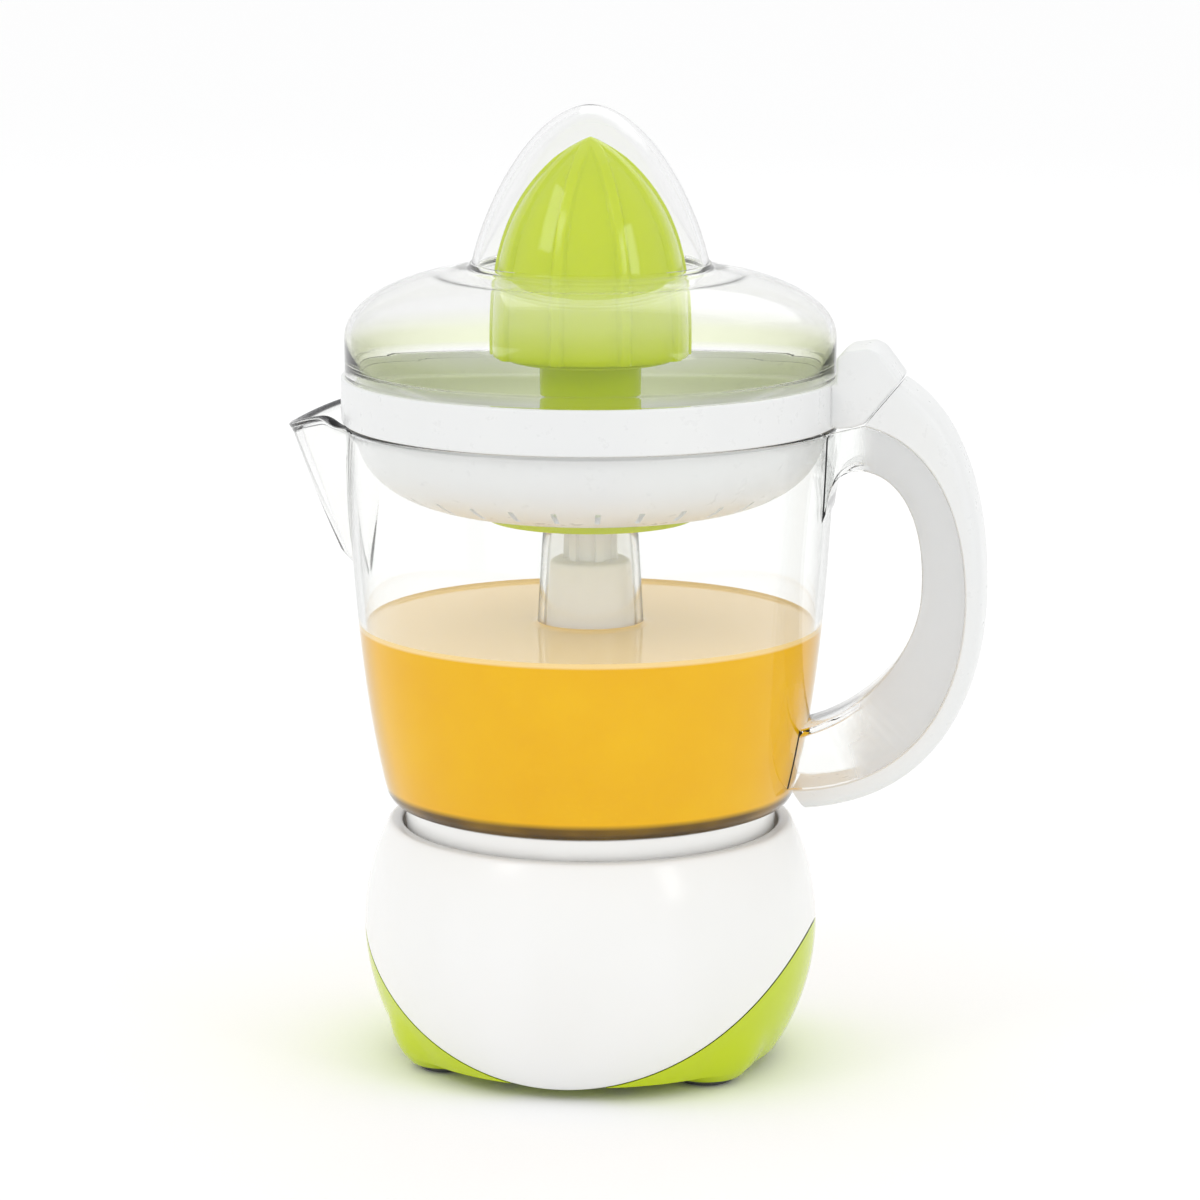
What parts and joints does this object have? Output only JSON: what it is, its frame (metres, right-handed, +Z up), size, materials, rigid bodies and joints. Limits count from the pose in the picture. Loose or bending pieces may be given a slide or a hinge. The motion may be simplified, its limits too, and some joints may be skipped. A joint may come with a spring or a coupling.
{
  "type": "citrus press juicer",
  "caption": "Electric citrus juicer: round motor base with rounded feet, clear spouted jug with a handle, strainer, ribbed reamer cones and a clear domed lid.",
  "frame": {"origin": "the point on the table under the spin axis, in the middle of the four feet", "axes": "+Z up along the spin axis, +X from the spin axis towards the handle, -X towards the spout, +Y towards the cord gland at the back"},
  "size_m": [0.2014, 0.142, 0.2755],
  "materials": {
    "white_shell": "glossy moulded ABS",
    "white_part": "glossy moulded polypropylene",
    "green_shell": "glossy moulded ABS, lime green",
    "green_part": "glossy moulded polypropylene, lime green",
    "clear_jug": "clear styrene-acrylonitrile, polished",
    "clear_lid": "clear polystyrene, polished",
    "rubber": "soft matt rubber",
    "dark_plastic": "matt moulded plastic",
    "red_plastic": "moulded plastic",
    "acetal": "natural acetal, satin",
    "steel": "zinc-plated steel",
    "spring_steel": "bright spring wire",
    "brass": "turned sintered brass",
    "copper": "enamelled copper wire",
    "magnet": "bonded ferrite",
    "wire_insulation": "soft insulation"
  },
  "bodies": {
    "base": {"base_housing": "white_shell", "base_cover": "green_shell", "foot_pads": "rubber", "cover_screws": "steel", "cord_gland": "rubber", "terminal_block": "acetal", "lead_wires": "wire_insulation", "gearbox_tray": "acetal", "gearbox_cover": "acetal", "gearbox_screws": "steel", "motor_can": "steel", "motor_plate": "steel", "motor_screws": "steel", "coil_bobbin": "acetal", "coil_winding": "copper", "rotor_bushes": "brass", "idler_pin": "steel", "switch_body": "dark_plastic", "press_spring": "spring_steel", "shaft_bush": "brass", "shaft_seal": "rubber"},
    "rotor": {"rotor_magnet": "magnet", "rotor_shaft": "steel", "rotor_pinion": "brass"},
    "idler": {"idler_gear": "acetal"},
    "thrust": {"thrust_cup": "acetal"},
    "switch_button": {"switch_plunger": "red_plastic"},
    "drive": {"drive_gear": "acetal", "drive_shaft": "steel", "spindle": "white_part"},
    "jug": {"jug": "clear_jug", "handle_cover": "white_part"},
    "strainer": {"strainer": "white_part"},
    "pulp_ring": {"pulp_ring": "green_part"},
    "cone_seat": {"cone_bush": "acetal"},
    "cone": {"cone_core": "green_part", "cone": "green_part"},
    "lid": {"lid": "clear_lid"}
  },
  "joints": [
    {"name": "press", "type": "slide", "parent": "base", "child": "thrust", "axis": [0, 0, -1], "range_m": [0, 0.002], "stiffness_N_per_m": 1500, "springref_m": -0.01, "deforming": ["press_spring"]},
    {"name": "drive_spin", "type": "hinge", "parent": "thrust", "child": "drive", "pos_m": [0, 0, 0.05], "axis": [0, 0, 1], "continuous": true},
    {"name": "rotor_spin", "type": "hinge", "parent": "base", "child": "rotor", "pos_m": [-0.02, 0, 0.03], "axis": [0, 0, 1], "continuous": true},
    {"name": "idler_spin", "type": "hinge", "parent": "base", "child": "idler", "pos_m": [-0.01549, 0.01618, 0.045], "axis": [0, 0, 1], "continuous": true},
    {"name": "switch_press", "type": "slide", "parent": "base", "child": "switch_button", "axis": [0, 0, -1], "range_m": [0, 0.002]},
    {"name": "jug_lift", "type": "slide", "parent": "base", "child": "jug", "axis": [0, 0, 1], "range_m": [0, 0.155]},
    {"name": "strainer_lift", "type": "slide", "parent": "jug", "child": "strainer", "axis": [0, 0, 1], "range_m": [0, 0.06]},
    {"name": "pulp_turn", "type": "hinge", "parent": "strainer", "child": "pulp_ring", "pos_m": [0, 0, 0.16], "axis": [0, 0, 1], "range_deg": [0, 12]},
    {"name": "cone_press", "type": "slide", "parent": "strainer", "child": "cone_seat", "axis": [0, 0, -1], "range_m": [0, 0.002]},
    {"name": "cone_spin", "type": "hinge", "parent": "cone_seat", "child": "cone", "pos_m": [0, 0, 0.21], "axis": [0, 0, 1], "continuous": true},
    {"name": "lid_lift", "type": "slide", "parent": "strainer", "child": "lid", "axis": [0, 0, 1], "range_m": [0, 0.08]}
  ],
  "couplings": [
    {"joint": "idler_spin", "follows": "rotor_spin", "ratio": -0.4},
    {"joint": "drive_spin", "follows": "rotor_spin", "ratio": 0.13333},
    {"joint": "cone_spin", "follows": "rotor_spin", "ratio": 0.13333},
    {"joint": "switch_press", "follows": "press", "ratio": 1},
    {"joint": "cone_press", "follows": "press", "ratio": 1}
  ]
}
